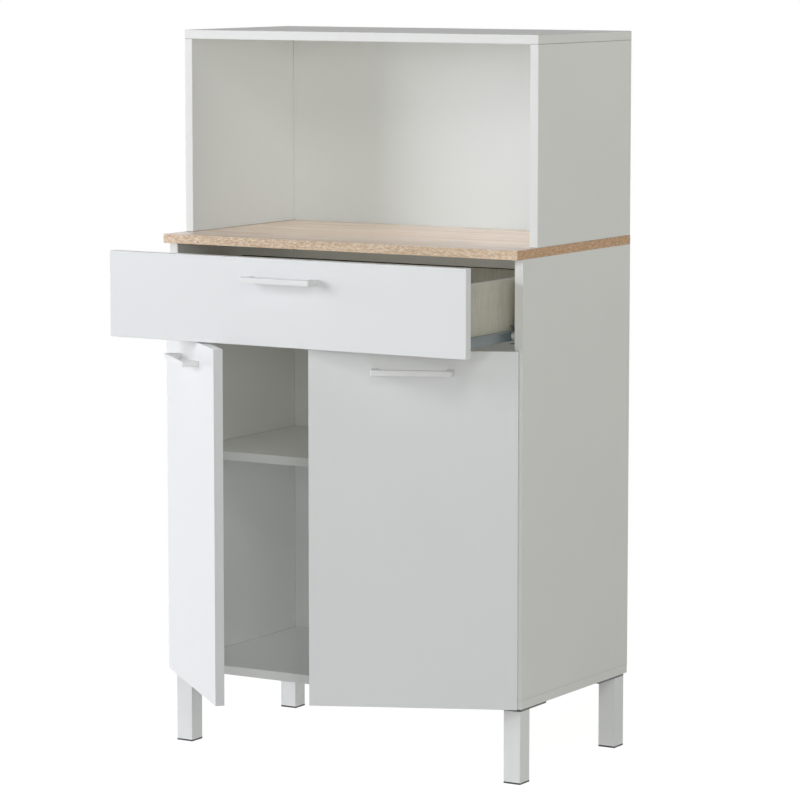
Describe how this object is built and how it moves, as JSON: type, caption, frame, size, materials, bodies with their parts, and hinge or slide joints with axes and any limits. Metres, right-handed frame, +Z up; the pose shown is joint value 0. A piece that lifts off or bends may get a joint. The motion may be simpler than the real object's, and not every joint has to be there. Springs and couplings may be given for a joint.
{
  "type": "kitchen storage cabinet",
  "caption": "White kitchen storage cabinet with an open hutch over an oak-look worktop, a wide drawer on roller runners and a shelved cupboard with hinged doors, on square legs.",
  "frame": {"origin": "on the floor under the middle of the worktop, between the feet", "axes": "+X to the cabinet's right as one faces it, +Y to its back, +Z up; the doors and the drawer are on the -Y side"},
  "size_m": [0.7204, 0.6391, 1.277],
  "materials": {
    "white_board": "white melamine-faced board, fine texture, satin",
    "white_front": "white melamine-faced fronts, smooth satin",
    "white_back": "white faced thin back sheet, matte",
    "white_strip": "white plastic joining strip",
    "oak_worktop": "pale oak-grain melamine, matte",
    "linen_board": "grey linen-print board, matte",
    "runner_steel": "grey powder-coated pressed steel",
    "roller_nylon": "white nylon",
    "leg_white": "white powder-coated square tube",
    "leg_plate": "dark grey painted plate",
    "glide": "dark grey moulded glide",
    "handle_white": "white painted cast bar handle",
    "hinge_steel": "nickel-plated pressed steel",
    "fastener_steel": "zinc-plated steel"
  },
  "bodies": {
    "carcass": {"back_joint_strip": "white_strip", "back_panel_left": "white_back", "back_panel_right": "white_back", "base_panel": "white_board", "foot_glides": "glide", "hutch_back": "white_back", "hutch_left_side": "white_board", "hutch_right_side": "white_board", "hutch_top": "white_board", "left_side_panel": "white_board", "leg_front_left": "leg_white", "leg_front_right": "leg_white", "leg_plate_front_left": "leg_plate", "leg_plate_front_right": "leg_plate", "leg_plate_rear_left": "leg_plate", "leg_plate_rear_right": "leg_plate", "leg_rear_left": "leg_white", "leg_rear_right": "leg_white", "right_side_panel": "white_board", "shelf": "white_board", "worktop": "oak_worktop", "shelf_pins": "fastener_steel", "left_cabinet_runner": "runner_steel", "right_cabinet_runner": "runner_steel", "left_hinge_arms": "hinge_steel", "left_hinge_plates": "hinge_steel", "right_hinge_arms": "hinge_steel", "right_hinge_plates": "hinge_steel"},
    "drawer": {"drawer_front": "white_front", "drawer_left_side": "linen_board", "drawer_right_side": "linen_board", "drawer_back": "linen_board", "drawer_bottom": "linen_board", "drawer_handle": "handle_white", "left_drawer_runner": "runner_steel", "right_drawer_runner": "runner_steel"},
    "door_left": {"left_door": "white_front", "left_door_handle": "handle_white", "left_hinge_cups": "hinge_steel", "left_hinge_pins": "hinge_steel"},
    "door_right": {"right_door": "white_front", "right_door_handle": "handle_white", "right_hinge_cups": "hinge_steel", "right_hinge_pins": "hinge_steel"},
    "roller_front_left": {"left_front_roller": "roller_nylon"},
    "roller_front_right": {"right_front_roller": "roller_nylon"},
    "roller_rear_left": {"left_rear_roller": "roller_nylon"},
    "roller_rear_right": {"right_rear_roller": "roller_nylon"}
  },
  "joints": [
    {"name": "drawer_slide", "type": "slide", "parent": "carcass", "child": "drawer", "axis": [0, -1, 0], "range_m": [-0.168, 0.094]},
    {"name": "door_left_hinge", "type": "hinge", "parent": "carcass", "child": "door_left", "pos_m": [-0.3505, -0.1955, 0.44125], "axis": [0, 0, -1], "range_deg": [-42.5, 57.5]},
    {"name": "door_right_hinge", "type": "hinge", "parent": "carcass", "child": "door_right", "pos_m": [0.3505, -0.1955, 0.44125], "axis": [0, 0, 1], "range_deg": [-25, 75]},
    {"name": "roller_front_left_spin", "type": "hinge", "parent": "carcass", "child": "roller_front_left", "pos_m": [-0.337, -0.169, 0.7715], "axis": [1, 0, 0], "range_deg": [-1205, 675]},
    {"name": "roller_front_right_spin", "type": "hinge", "parent": "carcass", "child": "roller_front_right", "pos_m": [0.337, -0.169, 0.7715], "axis": [1, 0, 0], "range_deg": [-1205, 675]},
    {"name": "roller_rear_left_spin", "type": "hinge", "parent": "drawer", "child": "roller_rear_left", "pos_m": [-0.337, -0.018, 0.7675], "axis": [1, 0, 0], "range_deg": [-1205, 675]},
    {"name": "roller_rear_right_spin", "type": "hinge", "parent": "drawer", "child": "roller_rear_right", "pos_m": [0.337, -0.018, 0.7675], "axis": [1, 0, 0], "range_deg": [-1205, 675]}
  ],
  "couplings": [
    {"joint": "roller_front_left_spin", "follows": "drawer_slide", "rad_per_m": 125},
    {"joint": "roller_front_right_spin", "follows": "drawer_slide", "rad_per_m": 125},
    {"joint": "roller_rear_left_spin", "follows": "drawer_slide", "rad_per_m": 125},
    {"joint": "roller_rear_right_spin", "follows": "drawer_slide", "rad_per_m": 125}
  ]
}
